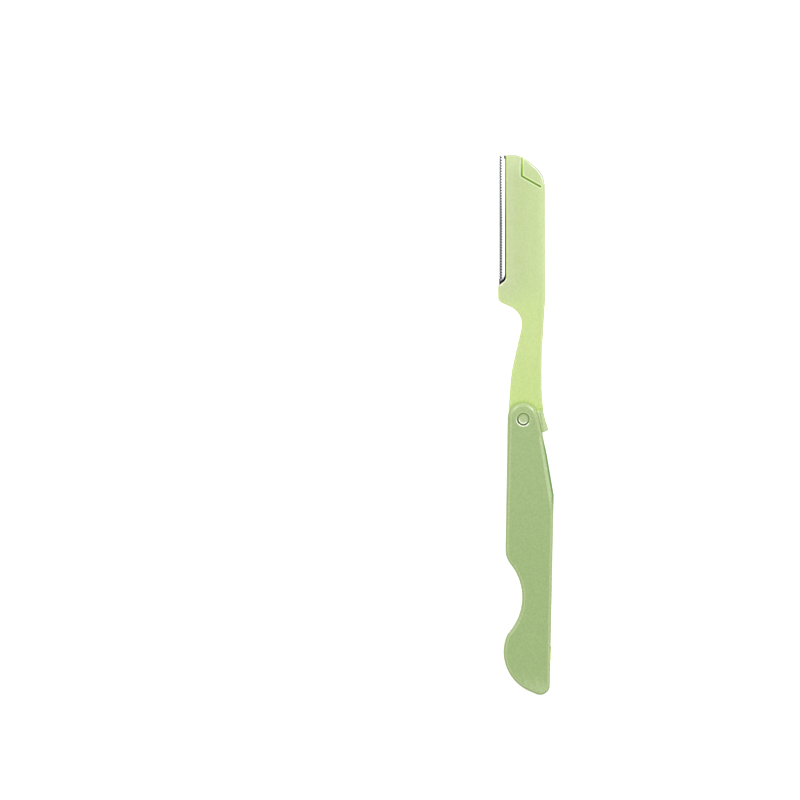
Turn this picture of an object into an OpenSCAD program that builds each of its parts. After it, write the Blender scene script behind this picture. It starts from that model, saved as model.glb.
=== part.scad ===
// Folding eyebrow razor: a slotted handle, a blade arm that folds into it, and a guarded blade.
// Millimetres. Outlines are drawn with the pivot axis at the origin and the blade to the left.
// place() then lays the razor on its lower face, with the middle of its box at the origin.

/* [Handle] */
// Radius of the two ears round the pivot
ear_r = 4.5; // [4.3:0.1:5]
// Height of the ears' centre above the pivot axis
ear_rise = 0.5; // [0.3:0.05:0.7]
// Thickness of each cheek beside the slot
cheek_t = 1.3; // [1:0.05:1.8]
// Thickness of the spine that closes the slot along the back
spine_t = 1; // [0.8:0.05:1.3]
// Rounding of the handle's long edges
handle_edge_r = 1; // [0.4:0.05:1.1]
// Distance from the pivot down to the knee in the back edge
knee_down = 22.4; // [18:0.1:28]
// Reach of the knee behind the pivot
knee_back = 8.95; // [8:0.05:10]
// Rounding of the knee
knee_r = 2.2; // [2:0.1:4]
// Bow of the back edge between ear and knee
flank_bow = 0.24; // [0.16:0.02:0.4]
// Radius of that bow
flank_r = 60; // [40:1:80]
// Reach of the butt behind the pivot
butt_back = 7.8; // [7.2:0.05:8.6]
// Rounding of the back corner of the butt
butt_r = 2.8; // [2.4:0.1:3.4]
// Depth of solid butt below the slot
butt_wall = 2.6; // [2:0.1:4]

/* [Grip] */
// Radius of the round bulb below the finger notch
bulb_r = 12.4; // [11.5:0.1:13.5]
// Straight run between bulb and butt
bulb_flat = 2.25; // [1.2:0.05:3]
// Rounding of the lip above the bulb
lip_r = 2; // [1.6:0.1:3]
// Straight run between lip and bulb
lip_flat = 0.2; // [0.1:0.1:1]
// Radius of the finger notch
notch_r = 15.5; // [14:0.1:17]
// Straight run between notch and lip
notch_flat = 1.4; // [0.8:0.1:2.4]
// Rounding of the hip above the notch
hip_r = 6.4; // [5:0.1:8]
// Straight run between hip and notch
hip_flat = 0.6; // [0.3:0.1:2]

/* [Arm] */
// Distance from the pivot to the tip of the head
arm_reach = 77.5; // [70:0.5:85]
// Thickness of the arm
arm_t = 2.2; // [1.8:0.05:2.8]
// Rounding of the arm's edges
arm_edge_r = 0.45; // [0.25:0.05:0.5]
// Reach of the head behind the pivot
head_back = 6.35; // [5.8:0.05:7]
// Swell of the back edge where head and neck meet
head_swell = 0.15; // [0.05:0.05:0.3]
// Rounding of the head's outer corner
head_r = 7.6; // [6.5:0.1:8]
// Reach of the edge that the blade stands out of, in front of the pivot
seat_out = 5.05; // [4.6:0.05:5.4]
// Reach of the shoulder that covers the blade's lower end
shoulder_out = 7.3; // [7.25:0.05:8]
// Height of the shoulder along its front
shoulder_h = 4.5; // [3.6:0.1:5.5]
// Reach of the neck behind the pivot
neck_back = 5.4; // [5.1:0.05:6]
// Rounding of the throat under the shoulder
throat_r = 5.7; // [4.8:0.1:6.4]
// Distance of the stop face from the pivot
stop_reach = 5.8; // [5.5:0.05:6.2]
// Reach of the heel's tip behind the pivot
heel_out = 7.45; // [7.2:0.05:7.8]
// Thickness of the heel
heel_t = 4.4; // [3.6:0.05:5]
// Width of the corner groove in the head
groove_w = 0.42; // [0.3:0.02:0.6]
// Depth of the corner groove
groove_d = 0.35; // [0.2:0.05:0.5]

/* [Blade] */
// Reach of the cutting edge in front of the pivot
edge_out = 6.85; // [6.7:0.01:6.88]
// Length of blade that shows
window_l = 36.7; // [32:0.1:40]
// Step from the tip of the head down to the end of the blade
blade_step = 0.2; // [0.1:0.05:0.6]
// Width of the blade strip
blade_w = 4.8; // [4.6:0.1:6]
// Thickness of the blade strip
blade_t = 0.25; // [0.2:0.01:0.35]
// Width of the ground bevel on each side
bevel_w = 0.7; // [0.5:0.05:1]
// Radius of the holes that lock the blade in the arm
lock_r = 0.6; // [0.4:0.05:0.7]

/* [Guard] */
// Thickness of the guard's foil
foil_t = 0.1; // [0.08:0.01:0.12]
// Distance from the cutting edge to the outside of the fold
fold_out = 0.17; // [0.15:0.01:0.22]
// Width of each side of the folded guard
guard_w = 3; // [2.8:0.1:3.2]
// Distance between the guard's slots
slot_pitch = 0.8; // [0.7:0.05:1]
// Depth of the slots
slot_d = 0.9; // [0.7:0.05:1.2]
// Width of a slot at the fold
slot_w = 0.64; // [0.4:0.02:0.66]

/* [Pivot] */
// Radius of the pivot pin
pin_r = 1.5; // [1.2:0.02:1.6]
// Width of the ring groove round the pin's ends
ring_w = 0.38; // [0.3:0.02:0.5]
// Depth of that groove
ring_d = 0.55; // [0.3:0.05:0.6]
// Depth of the dish in the pin's ends
dish_d = 0.1; // [0.05:0.01:0.2]

/* [Fits] */
// Running clearance between pin and arm
pin_gap = 0.05; // [0.03:0.01:0.1]
// Clearance of pieces that are pressed or moulded together
seat_gap = 0.02; // [0.01:0.01:0.03]
// Clearance between the arm and each cheek
side_gap = 0.2; // [0.15:0.01:0.3]
// Clearance between the arm's bosses and the cheeks
boss_gap = 0.05; // [0.03:0.01:0.1]
// Clearance at the stop, with the razor open
stop_gap = 0.06; // [0.03:0.01:0.1]
// Clearance beyond the tip, with the razor folded
tip_gap = 0.6; // [0.5:0.05:1]
// Clearance between the heel and the ears
heel_gap = 0.12; // [0.1:0.01:0.4]

/* [Hidden] */

handle_color = "#a7be88";
arm_color = "#cadf97";
pin_color = "#b4c894";
steel_color = "#c8ccd1";

// How far a flat may stray from a true arc
facet_tol = 0.01;
// Steps in the rounding of an edge
edge_steps = 4;
// Overrun of every cut past what it cuts
over = 2;
$fn = 96;

// Thickness through slot and handle
slot_t = arm_t + 2 * side_gap;
handle_t = slot_t + 2 * cheek_t;

// A roll is [x, y, radius, edge share]. The outline runs round its rolls like a belt, counterclockwise.
// A roll with a negative radius lies outside the outline and hollows it.
function side(a) = [sin(a), -cos(a)];
function ahead(a) = [cos(a), sin(a)];
function spot(roll) = [roll[0], roll[1]];
function run_angle(a, b) =
    let (d = spot(b) - spot(a))
    atan2(d[1], d[0]) + asin((a[2] - b[2]) / norm(d));
// The roll that comes before a given one, with a straight run between them in direction a
function before(roll, r, flat, a) =
    let (p = spot(roll) + (roll[2] - r) * side(a) - flat * ahead(a))
    [p[0], p[1], r, 1];
// The roll that rounds corner v of a path from p to n
function corner_roll(p, v, n) =
    let (u = (spot(v) - spot(p)) / norm(spot(v) - spot(p)),
         w = (spot(n) - spot(v)) / norm(spot(n) - spot(v)),
         bend = acos(u * w),
         c = spot(v) + (w - u) / norm(w - u) * v[2] / cos(bend / 2))
    [c[0], c[1], v[2] * sign(u[0] * w[1] - u[1] * w[0]), v[3]];
function corner_rolls(path) = [for (i = [1 : len(path) - 2])
    corner_roll(path[i - 1], path[i], path[i + 1])];
function turn_of(roll, a_in, a_out) =
    let (swing = (a_out - a_in + 720) % 360)
    roll[2] > 0 ? swing : swing - 360;
function steps_of(roll, turn) = max(1, ceil(abs(turn) / (2 * acos(1 - facet_tol / abs(roll[2])))));
// The points of an outline, drawn in by inset at every roll with an edge share of 1
function belt(rolls, inset = 0) =
    let (n = len(rolls),
         runs = [for (i = [0 : n - 1]) run_angle(rolls[i], rolls[(i + 1) % n])])
    [for (i = [0 : n - 1])
        let (roll = rolls[i],
             a_in = runs[(i + n - 1) % n],
             turn = turn_of(roll, a_in, runs[i]),
             steps = steps_of(roll, turn))
        for (k = [0 : steps])
            spot(roll) + (roll[2] - inset * roll[3]) * side(a_in + turn * k / steps)];
function low(points, axis) = min([for (p = points) p[axis]]);
function high(points, axis) = max([for (p = points) p[axis]]);

// Triangles that fill an outline, found by clipping one ear after another off its ring of point numbers
function bend_at(a, b, c) = (b[0] - a[0]) * (c[1] - a[1]) - (b[1] - a[1]) * (c[0] - a[0]);
function covers(a, b, c, q) = bend_at(a, b, q) >= 0 && bend_at(b, c, q) >= 0 && bend_at(c, a, q) >= 0;
function corner_of(ring, i) =
    let (n = len(ring))
    [ring[(i + n - 1) % n], ring[i], ring[(i + 1) % n]];
function is_ear(p, ring, i) =
    let (e = corner_of(ring, i), a = p[e[0]], b = p[e[1]], c = p[e[2]])
    bend_at(a, b, c) > 0 &&
    len([for (k = ring) if (len(search(k, e)) == 0 && covers(a, b, c, p[k])) k]) == 0;
function first_ear(p, ring, i = 0) = is_ear(p, ring, i) ? i : first_ear(p, ring, i + 1);
function fill(p, ring) =
    len(ring) == 3 ? [ring] :
    let (e = first_ear(p, ring))
    concat([corner_of(ring, e)], fill(p, [for (i = [0 : len(ring) - 1]) if (i != e) ring[i]]));

// A slab with the given outline and rounded edges, centred on z = 0
module slab(rolls, t, edge_r) {
    rims = [for (k = [0 : edge_steps]) 90 * k / edge_steps];
    lower = [for (a = rims) [edge_r * (1 - sin(a)), edge_r * (1 - cos(a)) - t / 2]];
    upper = [for (k = [edge_steps : -1 : 0]) [lower[k][0], -lower[k][1]]];
    levels = concat(lower, upper);
    flat = belt(rolls, edge_r);
    n = len(flat);
    points = [for (level = levels) for (p = belt(rolls, level[0])) [p[0], p[1], level[1]]];
    last = n * (len(levels) - 1);
    under = fill(flat, [for (i = [0 : n - 1]) i]);
    top = [for (f = under) [last + f[2], last + f[1], last + f[0]]];
    sides = [for (k = [0 : len(levels) - 2]) for (i = [0 : n - 1])
        let (a = k * n + i, b = k * n + (i + 1) % n)
        for (face = [[a, a + n, b], [b, a + n, b + n]]) face];
    polyhedron(points = points, faces = concat(under, sides, top), convexity = 6);
}

// Outline of the handle, with the direction of travel at each join
butt_down = arm_reach + tip_gap + butt_wall;
bulb_run = 337;
lip_run = 248.5;
notch_run = 231.5;
hip_run = 307.5;
butt = [butt_back - butt_r, butt_r - butt_down, butt_r, 1];
bulb = before(butt, bulb_r, bulb_flat, bulb_run);
lip = before(bulb, lip_r, lip_flat, lip_run);
notch = before(lip, -notch_r, notch_flat, notch_run);
hip = before(notch, hip_r, hip_flat, hip_run);
// The rounding of the ears' edges is this much wider than that of the other edges
ear_edge_share = 1.4;
ear = [0, ear_rise, ear_r, ear_edge_share];
knee = [knee_back - knee_r, -knee_down, knee_r, 1];
// Lean of the back edge from knee to ear, and the middle of that edge
back_lean = run_angle(knee, ear) - 90;
flank_mid = (spot(ear) + spot(knee) + (ear_r + knee_r) * ahead(back_lean)) / 2;
flank_at = flank_mid + (flank_bow - flank_r) * ahead(back_lean);
flank = [flank_at[0], flank_at[1], flank_r, 1];
handle_rolls = [butt, knee, flank, ear, hip, notch, lip, bulb];

// The stop: the arm's tail rests on the slanted top end of the spine
stop_tilt = 24;
stop_foot = -stop_reach / cos(stop_tilt);
function on_stop(x, drop = 0) = [x, stop_foot + x * tan(stop_tilt) - drop / cos(stop_tilt)];

// Outline of the slot: open in front and round the ears, closed by the spine and the butt
far = 4 * handle_t;
slot_lip_r = spine_t / 4;
slot_end_r = butt_r - spine_t;
slot_end = butt_wall - butt_down;
wall_front = butt_back / 10;
spine_top = on_stop(ear_r + 2 * seat_gap + slot_lip_r, stop_gap + slot_lip_r);
spine_far = on_stop(far, stop_gap - slot_lip_r);
slot_rolls = [
    [-far, -butt_down - over, slot_lip_r, 1],
    [wall_front - slot_lip_r, -butt_down - over, slot_lip_r, 1],
    [wall_front + slot_lip_r, slot_end - slot_lip_r, -slot_lip_r, 1],
    [butt[0], slot_end + slot_end_r, slot_end_r, 1],
    [knee[0], knee[1], knee_r - spine_t, 1],
    [flank[0], flank[1], flank_r - spine_t, 1],
    [spine_top[0], spine_top[1], -slot_lip_r, 1],
    [spine_far[0], spine_far[1], slot_lip_r, 1],
    [far, far, slot_lip_r, 1],
    [-far, far, slot_lip_r, 1]
];

// Outline of the arm. Its corners are [x, y, rounding, edge share].
eye_r = ear_r - boss_gap;
arm_corner_r = 1.15 * arm_edge_r;
window_foot = arm_reach - window_l;
window_tilt = 37;
shoulder_top = window_foot - (shoulder_out - seat_out) * tan(window_tilt);
shoulder_low = shoulder_top - shoulder_h;
window_r = 1.8;
shoulder_r = 1.7;
// The bevel round the head's outer corner is this much wider than the other edges
bevel_share = 1.6;
tip_front = 0.65;
tip_drop = 5.85;
throat_front = 0.6;
throat_drop = 3.35;
heel_bend_r = 25;
neck_low_r = 60;
neck_high_r = 120;
neck_front_r = 40;
heel_bend_shares = [1.365, 0.02];
neck_low_share = 0.103;
neck_high_share = 0.244;
swell_share = 0.465;
neck_front_shares = [0.775, 0.178];
tail = on_stop(eye_r);
// The proud heel covers this much of the arm's own tip
heel_cover = 0.3;
heel_tip = on_stop(heel_out - heel_cover);
arm_path = [
    [0, -eye_r],
    [tail[0], tail[1], arm_corner_r, 1],
    [heel_tip[0], heel_tip[1], arm_corner_r, 1],
    [ear_r * heel_bend_shares[0], ear_r * heel_bend_shares[1], heel_bend_r, 1],
    [neck_back, arm_reach * neck_low_share, neck_low_r, 1],
    [neck_back, arm_reach * neck_high_share, neck_high_r, 1],
    [head_back + head_swell, arm_reach * swell_share, neck_low_r, 1],
    [head_back, arm_reach - tip_drop, head_r, bevel_share],
    [-tip_front, arm_reach, head_r, bevel_share],
    [-seat_out, arm_reach, arm_corner_r, 1],
    [-seat_out, window_foot, window_r, 1],
    [-shoulder_out, shoulder_top, arm_corner_r, 1],
    [-shoulder_out, shoulder_low, shoulder_r, 1],
    [throat_front, shoulder_low - throat_drop, throat_r, 1],
    [-eye_r * neck_front_shares[0], arm_reach * neck_front_shares[1], neck_front_r, 1],
    [-eye_r, 0]
];
arm_rolls = concat([[0, 0, eye_r, 1]], corner_rolls(arm_path));

// Outline of the heel, which stands proud of the arm and clears the ears as it swings round them
heel_edge_r = 0.6 * arm_edge_r;
heel_corner_r = 1.2 * heel_edge_r;
heel_in = ear_rise + ear_r + heel_gap;
heel_drop = 0.05;
heel_run = (heel_in * (sin(back_lean) - tan(stop_tilt) * cos(back_lean)) - stop_foot) /
    (cos(back_lean) + tan(stop_tilt) * sin(back_lean)) + heel_drop;
heel_top = 0.3 * ear_r;
heel_foot = heel_in * ahead(back_lean) + heel_run * side(back_lean);
heel_head = heel_in * ahead(back_lean) - heel_top * side(back_lean);
heel_end = on_stop(heel_out, heel_drop);
heel_cap = [neck_back + heel_top / 6, heel_head[1] + heel_top];
heel_path = [
    heel_head,
    [heel_foot[0], heel_foot[1], heel_corner_r, 1],
    [heel_end[0], heel_end[1], heel_corner_r, 1],
    [ear_r * heel_bend_shares[0] + heel_top / 9, ear_r * heel_bend_shares[1], heel_bend_r, 1],
    [heel_cap[0], heel_cap[1], heel_corner_r, 1],
    [heel_head[0], heel_head[1], heel_corner_r, 1],
    heel_foot
];
heel_rolls = corner_rolls(heel_path);

// Where the razor lies
handle_points = belt(handle_rolls);
arm_points = belt(arm_rolls);
heel_points = belt(heel_rolls);
both_points = concat(handle_points, arm_points);
mid_x = (low(both_points, 0) + high(both_points, 0)) / 2;
mid_y = (low(both_points, 1) + high(both_points, 1)) / 2;

module place() {
    translate([-mid_x, -mid_y, handle_t / 2]) children();
}

// A bar of square section along y, from the low corner [x, z] to the high one
module bar(low_corner, high_corner, y_low, y_high) {
    translate([low_corner[0], y_low, low_corner[1]])
    cube([high_corner[0] - low_corner[0], y_high - y_low, high_corner[1] - low_corner[1]]);
}

// The handle: one moulding with two ears, a slot for the arm, and a finger notch
gate_l = 4.2;
gate_proud = 0.15;
gate_share = 0.849;
// The rounding leaves a strip of upright wall beside the slot
handle_rim_r = min(handle_edge_r, 0.85 * cheek_t);
gate_w = handle_t - 2 * handle_rim_r;
bore_r = pin_r + seat_gap;
ring_r = pin_r + ring_w;
// The groove opens in a shallow flare that catches the light
ring_flare = 0.8 * ring_w;
flare_d = 0.36 * ring_flare;

module gate_mark() {
    y = -butt_down * gate_share;
    lean = run_angle(butt, knee) - 90;
    at = spot(butt) + butt_r * ahead(lean);
    translate([at[0] - (y - at[1]) * tan(lean), y])
    rotate(lean)
    translate([-spine_t / 2, -gate_l / 2, -gate_w / 2])
    cube([spine_t / 2 + gate_proud, gate_l, gate_w]);
}

module ring_groove() {
    translate([0, 0, handle_t / 2 - ring_d])
    cylinder(h = ring_d + over, r = ring_r);
    translate([0, 0, handle_t / 2 - flare_d])
    cylinder(h = 2 * flare_d, r1 = ring_r, r2 = ring_r + 2 * ring_flare);
}

module handle() {
    color(handle_color)
    place()
    difference() {
        union() {
            slab(handle_rolls, handle_t, handle_rim_r);
            gate_mark();
        }
        translate([0, 0, -slot_t / 2])
        linear_extrude(slot_t)
        polygon(belt(slot_rolls));
        cylinder(h = handle_t + 2 * over, r = bore_r, center = true);
        for (flip = [0, 1]) mirror([0, 0, flip]) ring_groove();
    }
}

// The pin: pressed into both ears, with a shallow dish in each end
pin_h = handle_t / 2 - seat_gap;
dish_r = 0.92 * pin_r;
dish_floor_r = 0.74 * pin_r;
pin_chamfer = 0.05 * pin_r;

module pivot_pin() {
    end = [
        [pin_r, pin_h - pin_chamfer],
        [pin_r - pin_chamfer, pin_h],
        [dish_r, pin_h],
        [dish_floor_r, pin_h - dish_d],
        [0, pin_h - dish_d]
    ];
    color(pin_color)
    place()
    rotate_extrude()
    polygon(concat([for (k = [len(end) - 1 : -1 : 0]) [end[k][0], -end[k][1]]], end));
}

// The strip and its guard, which the arm is moulded round and which end just below its tip
guard_out = edge_out + fold_out;
guard_in = guard_out - guard_w;
blade_in = edge_out - blade_w;
blade_high = arm_reach - blade_step;
blade_low = shoulder_top - shoulder_h / 4;
fold_in_r = blade_t / 2 + seat_gap;
fold_r = fold_in_r + foil_t;
lock_x = -(guard_in + blade_in) / 2;
lock_shares = [0.15, 0.5, 0.85];
lock_spots = [for (share = lock_shares) [lock_x, blade_low + (blade_high - blade_low) * share]];

module at_locks() {
    for (p = lock_spots) translate(p) children();
}

module strip_pocket() {
    wide = fold_r + seat_gap;
    thin = fold_in_r;
    y_low = blade_low - seat_gap;
    y_high = arm_reach + over;
    bar([-guard_out - seat_gap, -wide], [-guard_in + seat_gap, wide], y_low, y_high);
    difference() {
        bar([-guard_in - over / 2, -thin], [-blade_in + seat_gap, thin], y_low, y_high);
        at_locks() cylinder(h = arm_t, r = lock_r - seat_gap, center = true, $fn = 48);
    }
}

// The L-shaped groove that sets off the head's outer corner
groove_front = 0.53;
groove_drop = 6.3;
groove_back_share = 0.82;
groove_tilt = -29;
groove_half = groove_w / 2;
groove_end_r = 0.98 * groove_half;
groove_bend_r = 1.5 * groove_w;
// The groove starts shallow at the head's edge and steps down to its full depth
groove_rise = 2.35;
groove_lead_d = 0.4 * groove_d;
groove_lead_half = 0.8 * groove_half;
groove_top = [-groove_front, arm_reach - groove_rise];
groove_foot = [-groove_front, arm_reach - groove_drop];
groove_run = (head_back * groove_back_share + groove_front) / cos(groove_tilt);
groove_end = groove_foot + groove_run * ahead(groove_tilt);
groove_mitre = groove_half * (side(-90) + side(groove_tilt)) / (1 + side(-90) * side(groove_tilt));
groove_path = [for (c = [
    [groove_top - groove_half * side(-90), groove_end_r],
    [groove_top + groove_half * side(-90), groove_end_r],
    [groove_foot + groove_mitre, groove_bend_r],
    [groove_end + groove_half * side(groove_tilt), groove_end_r],
    [groove_end - groove_half * side(groove_tilt), groove_end_r],
    [groove_foot - groove_mitre, groove_end_r],
    [groove_top - groove_half * side(-90), groove_end_r],
    [groove_top + groove_half * side(-90), groove_end_r]
]) [c[0][0], c[0][1], c[1], 1]];

module corner_groove() {
    translate([0, 0, arm_t / 2 - groove_d])
    linear_extrude(groove_d + over)
    polygon(belt(corner_rolls(groove_path)));
    translate([groove_top[0] - groove_lead_half, groove_top[1] - groove_half, arm_t / 2 - groove_lead_d])
    cube([2 * groove_lead_half, groove_half + groove_rise + over, groove_lead_d + over]);
}

// Beside the groove's upper end a small nick is cut into the roll of the head's upper corner
crown = arm_rolls[8];
nick_r = 0.6;
nick_d = 0.18;
nick_turn = 29;

module edge_nick() {
    translate(spot(crown) + (crown[2] + nick_r - nick_d) * ahead(90 - nick_turn))
    cylinder(h = arm_t + over, r = nick_r, center = true);
}

// The arm: eye, tail, heel, neck, shoulder and head in one moulding round the blade
boss_r = 1.9 * pin_r;

module blade_arm() {
    color(arm_color)
    place()
    difference() {
        union() {
            slab(arm_rolls, arm_t, arm_edge_r);
            slab(heel_rolls, heel_t, heel_edge_r);
            cylinder(h = slot_t - 2 * boss_gap, r = boss_r, center = true);
        }
        cylinder(h = slot_t + 2 * over, r = pin_r + pin_gap, center = true);
        strip_pocket();
        for (flip = [0, 1]) mirror([0, 0, flip]) corner_groove();
        edge_nick();
    }
}

// The blade: a thin strip with a bevel ground on both sides
module blade() {
    color(steel_color)
    place()
    difference() {
        translate([0, blade_high])
        rotate([90, 0, 0])
        linear_extrude(blade_high - blade_low)
        polygon([
            [-edge_out, 0],
            [bevel_w - edge_out, -blade_t / 2],
            [-blade_in, -blade_t / 2],
            [-blade_in, blade_t / 2],
            [bevel_w - edge_out, blade_t / 2]
        ]);
        at_locks() cylinder(h = arm_t, r = lock_r, center = true, $fn = 48);
    }
}

// The guard: foil folded over the cutting edge, with a comb of tapered slots through the fold
slot_root_w = slot_w / 3;
slot_root_x = slot_d - guard_out;
slot_taper = (slot_w - slot_root_w) / slot_d / 2;
comb_low = window_foot;
slot_count = floor((blade_high - comb_low) / slot_pitch);
slot_y = (blade_high + comb_low - (slot_count - 1) * slot_pitch) / 2;

module fold(r) {
    x = fold_r - guard_out;
    translate([x, 0]) circle(r = r);
    translate([x, -r]) square([-guard_in - x, 2 * r]);
}

module slot_cut() {
    reach = slot_d + foil_t;
    translate([slot_root_x, 0, -arm_t / 2])
    linear_extrude(arm_t)
    polygon([
        [0, -slot_root_w / 2],
        [0, slot_root_w / 2],
        [-reach, slot_root_w / 2 + slot_taper * reach],
        [-reach, -slot_root_w / 2 - slot_taper * reach]
    ]);
}

// The corner of the fold that is trimmed off at the tip
guard_corner = fold_r;

module corner_cut() {
    translate([-guard_out, blade_high, -arm_t / 2])
    linear_extrude(arm_t)
    polygon([[-over, -guard_corner - over], [-over, over], [guard_corner + over, over]]);
}

// A tongue at the guard's upper end, cut free on both sides, holds the foil down on the strip
tongue_l = 1;
tongue_w = 0.26;
tongue_gap = 0.13;
nip_w = 0.08;
slit_w = 0.3;
tongue_slits = [
    [tongue_gap, nip_w],
    [tongue_gap + nip_w + tongue_w, slit_w]
];

module tongue_cut() {
    for (slit = tongue_slits)
        bar([slot_root_x + slit[0], -arm_t / 2], [slot_root_x + slit[0] + slit[1], arm_t / 2],
            blade_high - tongue_l, blade_high + over);
}

module guard_comb() {
    color(steel_color)
    place()
    difference() {
        translate([0, blade_high])
        rotate([90, 0, 0])
        linear_extrude(blade_high - blade_low)
        difference() {
            fold(fold_r);
            fold(fold_in_r);
            translate([-guard_in - foil_t, -fold_in_r]) square([over, 2 * fold_in_r]);
        }
        for (i = [0 : slot_count - 1]) translate([0, slot_y + i * slot_pitch]) slot_cut();
        corner_cut();
        tongue_cut();
    }
}

handle();
pivot_pin();
blade_arm();
blade();
guard_comb();
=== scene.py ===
# %% [markdown]
# # A folding eyebrow razor
# The razor is five pieces: a slotted handle, a pin, an arm that turns on the pin, a steel
# blade strip in the arm, and a foil guard folded over its edge. Their shapes are finished in
# the packed frame, so this lesson gives them what the frame can't: smooth shading, the look
# of moulded plastic and rolled steel, light, a floor and a camera.

# %% Load the frame
import math

import bpy
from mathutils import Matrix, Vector


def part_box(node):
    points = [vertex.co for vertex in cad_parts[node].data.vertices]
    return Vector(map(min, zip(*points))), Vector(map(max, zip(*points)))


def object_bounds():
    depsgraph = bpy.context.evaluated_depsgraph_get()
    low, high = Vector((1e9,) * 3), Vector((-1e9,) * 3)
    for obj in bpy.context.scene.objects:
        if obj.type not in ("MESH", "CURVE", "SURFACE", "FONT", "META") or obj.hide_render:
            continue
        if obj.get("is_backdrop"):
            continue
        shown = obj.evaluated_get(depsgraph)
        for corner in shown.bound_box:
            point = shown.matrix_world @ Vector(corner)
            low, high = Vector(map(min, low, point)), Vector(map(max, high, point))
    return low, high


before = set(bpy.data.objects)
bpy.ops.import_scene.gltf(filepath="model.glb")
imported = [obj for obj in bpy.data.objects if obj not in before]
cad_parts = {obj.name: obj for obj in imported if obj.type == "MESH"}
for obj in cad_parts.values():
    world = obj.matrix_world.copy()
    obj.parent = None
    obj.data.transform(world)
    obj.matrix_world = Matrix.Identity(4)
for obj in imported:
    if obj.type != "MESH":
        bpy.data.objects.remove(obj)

cad_low, cad_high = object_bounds()
MM = 0.001
print("box in mm:", [round(v / MM, 2) for v in cad_high - cad_low])

# %% [markdown]
# ## Where things are
# The razor lies flat with its length along Y, its head towards +Y and its blade towards -X.
# The real handle and arm are drawn from the hinge, so tones and lines on both are placed
# from it here too. Its place could be typed in, but the pin's box gives it, and a number
# that is read can't fall out of step with the frame.

# %% Measure the pieces
pin_low, pin_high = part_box("pivot_pin")
handle_low, handle_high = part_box("handle")
_, arm_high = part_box("blade_arm")
guard_low, guard_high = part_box("guard_comb")
blade_low, blade_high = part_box("blade")
pivot = (pin_low + pin_high) / 2
pin_radius = (pin_high.x - pin_low.x) / 2


def right(mm):
    """The x of a place that many millimetres to the right of the pivot."""
    return pivot.x + mm * MM


def up(mm):
    """The y of a place that many millimetres from the pivot towards the head."""
    return pivot.y + mm * MM


print("pivot in mm:", [round(v / MM, 2) for v in pivot])
print("pin radius in mm:", round(pin_radius / MM, 2))

# %% [markdown]
# ## A helper for nodes
# The smoothing and the finishes are made of nodes, which one would wire by hand in Blender's
# node editors. In a script, one helper adds a node with its settings, fills or links its
# inputs and gives back what the next node needs, so that each node takes one statement.

# %% Add a node


def add_node(tree, kind, inputs=None, out=None, **settings):
    """Adds a node with its settings and links. Gives back the node, or its socket called out."""
    made = tree.nodes.new(kind)
    for name, value in settings.items():
        setattr(made, name, value)
    for name, value in (inputs or {}).items():
        if isinstance(value, bpy.types.NodeSocket):
            tree.links.new(value, made.inputs[name])
        else:
            made.inputs[name].default_value = value
    return made if out is None else made.outputs[out]


print("add_node:", add_node.__doc__)

# %% [markdown]
# ## Smooth curves, crisp corners
# The frame arrives as flat facets that share no points. Real mouldings have rounded edges
# that shade without a break, and real cuts have crisp ones. Shading could be set face by face
# in each mesh, but the meshes have to stay as they are, so modifiers make the change: the
# first joins the facets and shades every bend under 32 degrees smooth, the second turns each
# flat face back into a single face, and the third lets the large flats decide the shading,
# so that they look flat to their rims.

# %% Make a node group that joins and smooths
SHARP_ABOVE = math.radians(32)
JOIN_WITHIN = 0.0005 * MM


def joined_and_smooth():
    """A node group that joins the facets and marks only gentle bends as smooth."""
    tree = bpy.data.node_groups.new("joined_and_smooth", "GeometryNodeTree")
    tree.interface.new_socket("Geometry", in_out="INPUT", socket_type="NodeSocketGeometry")
    tree.interface.new_socket("Geometry", in_out="OUTPUT", socket_type="NodeSocketGeometry")
    start = add_node(tree, "NodeGroupInput", out=0)
    bare = add_node(tree, "GeometryNodeRemoveAttribute",
                    {"Geometry": start, "Name": "custom_normal"}, out=0)
    joined = add_node(tree, "GeometryNodeMergeByDistance",
                      {"Geometry": bare, "Distance": JOIN_WITHIN}, out=0)
    faces = add_node(tree, "GeometryNodeSetShadeSmooth",
                     {"Geometry": joined, "Shade Smooth": True}, out=0, domain="FACE")
    bend = add_node(tree, "GeometryNodeInputMeshEdgeAngle", out=0)
    gentle = add_node(tree, "FunctionNodeCompare",
                      {"A": bend, "B": SHARP_ABOVE}, out=0, operation="LESS_THAN")
    edges = add_node(tree, "GeometryNodeSetShadeSmooth",
                     {"Geometry": faces, "Shade Smooth": gentle}, out=0, domain="EDGE")
    add_node(tree, "NodeGroupOutput", {"Geometry": edges})
    return tree


smoothing = joined_and_smooth()
print("smoothing group:", [n.bl_idname for n in smoothing.nodes])

# %% Smooth every piece
FLAT_WITHIN = math.radians(0.4)

for name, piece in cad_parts.items():
    piece.modifiers.new("join", "NODES").node_group = smoothing
    flats = piece.modifiers.new("flats", "DECIMATE")
    flats.decimate_type = "DISSOLVE"
    flats.angle_limit = FLAT_WITHIN
    weighted = piece.modifiers.new("weighted", "WEIGHTED_NORMAL")
    weighted.keep_sharp = True
    shown = piece.evaluated_get(bpy.context.evaluated_depsgraph_get()).data
    print(name, "faces", len(piece.data.polygons), "->", len(shown.polygons))

# %% [markdown]
# ## Colours
# Shaders count in linear light, and colours could be typed that way. They are written as
# sRGB hex values instead, as a colour picker shows them, so that they can be compared with
# what the eye sees, and one function turns the first into the second.

# %% Turn hex colours into linear light


def linear(hex_colour):
    """A colour in linear light. The numbers in it are the sRGB standard's own."""
    shares = [int(hex_colour[i:i + 2], 16) / 255 for i in (1, 3, 5)]
    bent = [s / 12.92 if s <= 0.04045 else ((s + 0.055) / 1.055) ** 2.4 for s in shares]
    return (*bent, 1.0)


print("mid grey in linear light:", [round(v, 3) for v in linear("#808080")])

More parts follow.
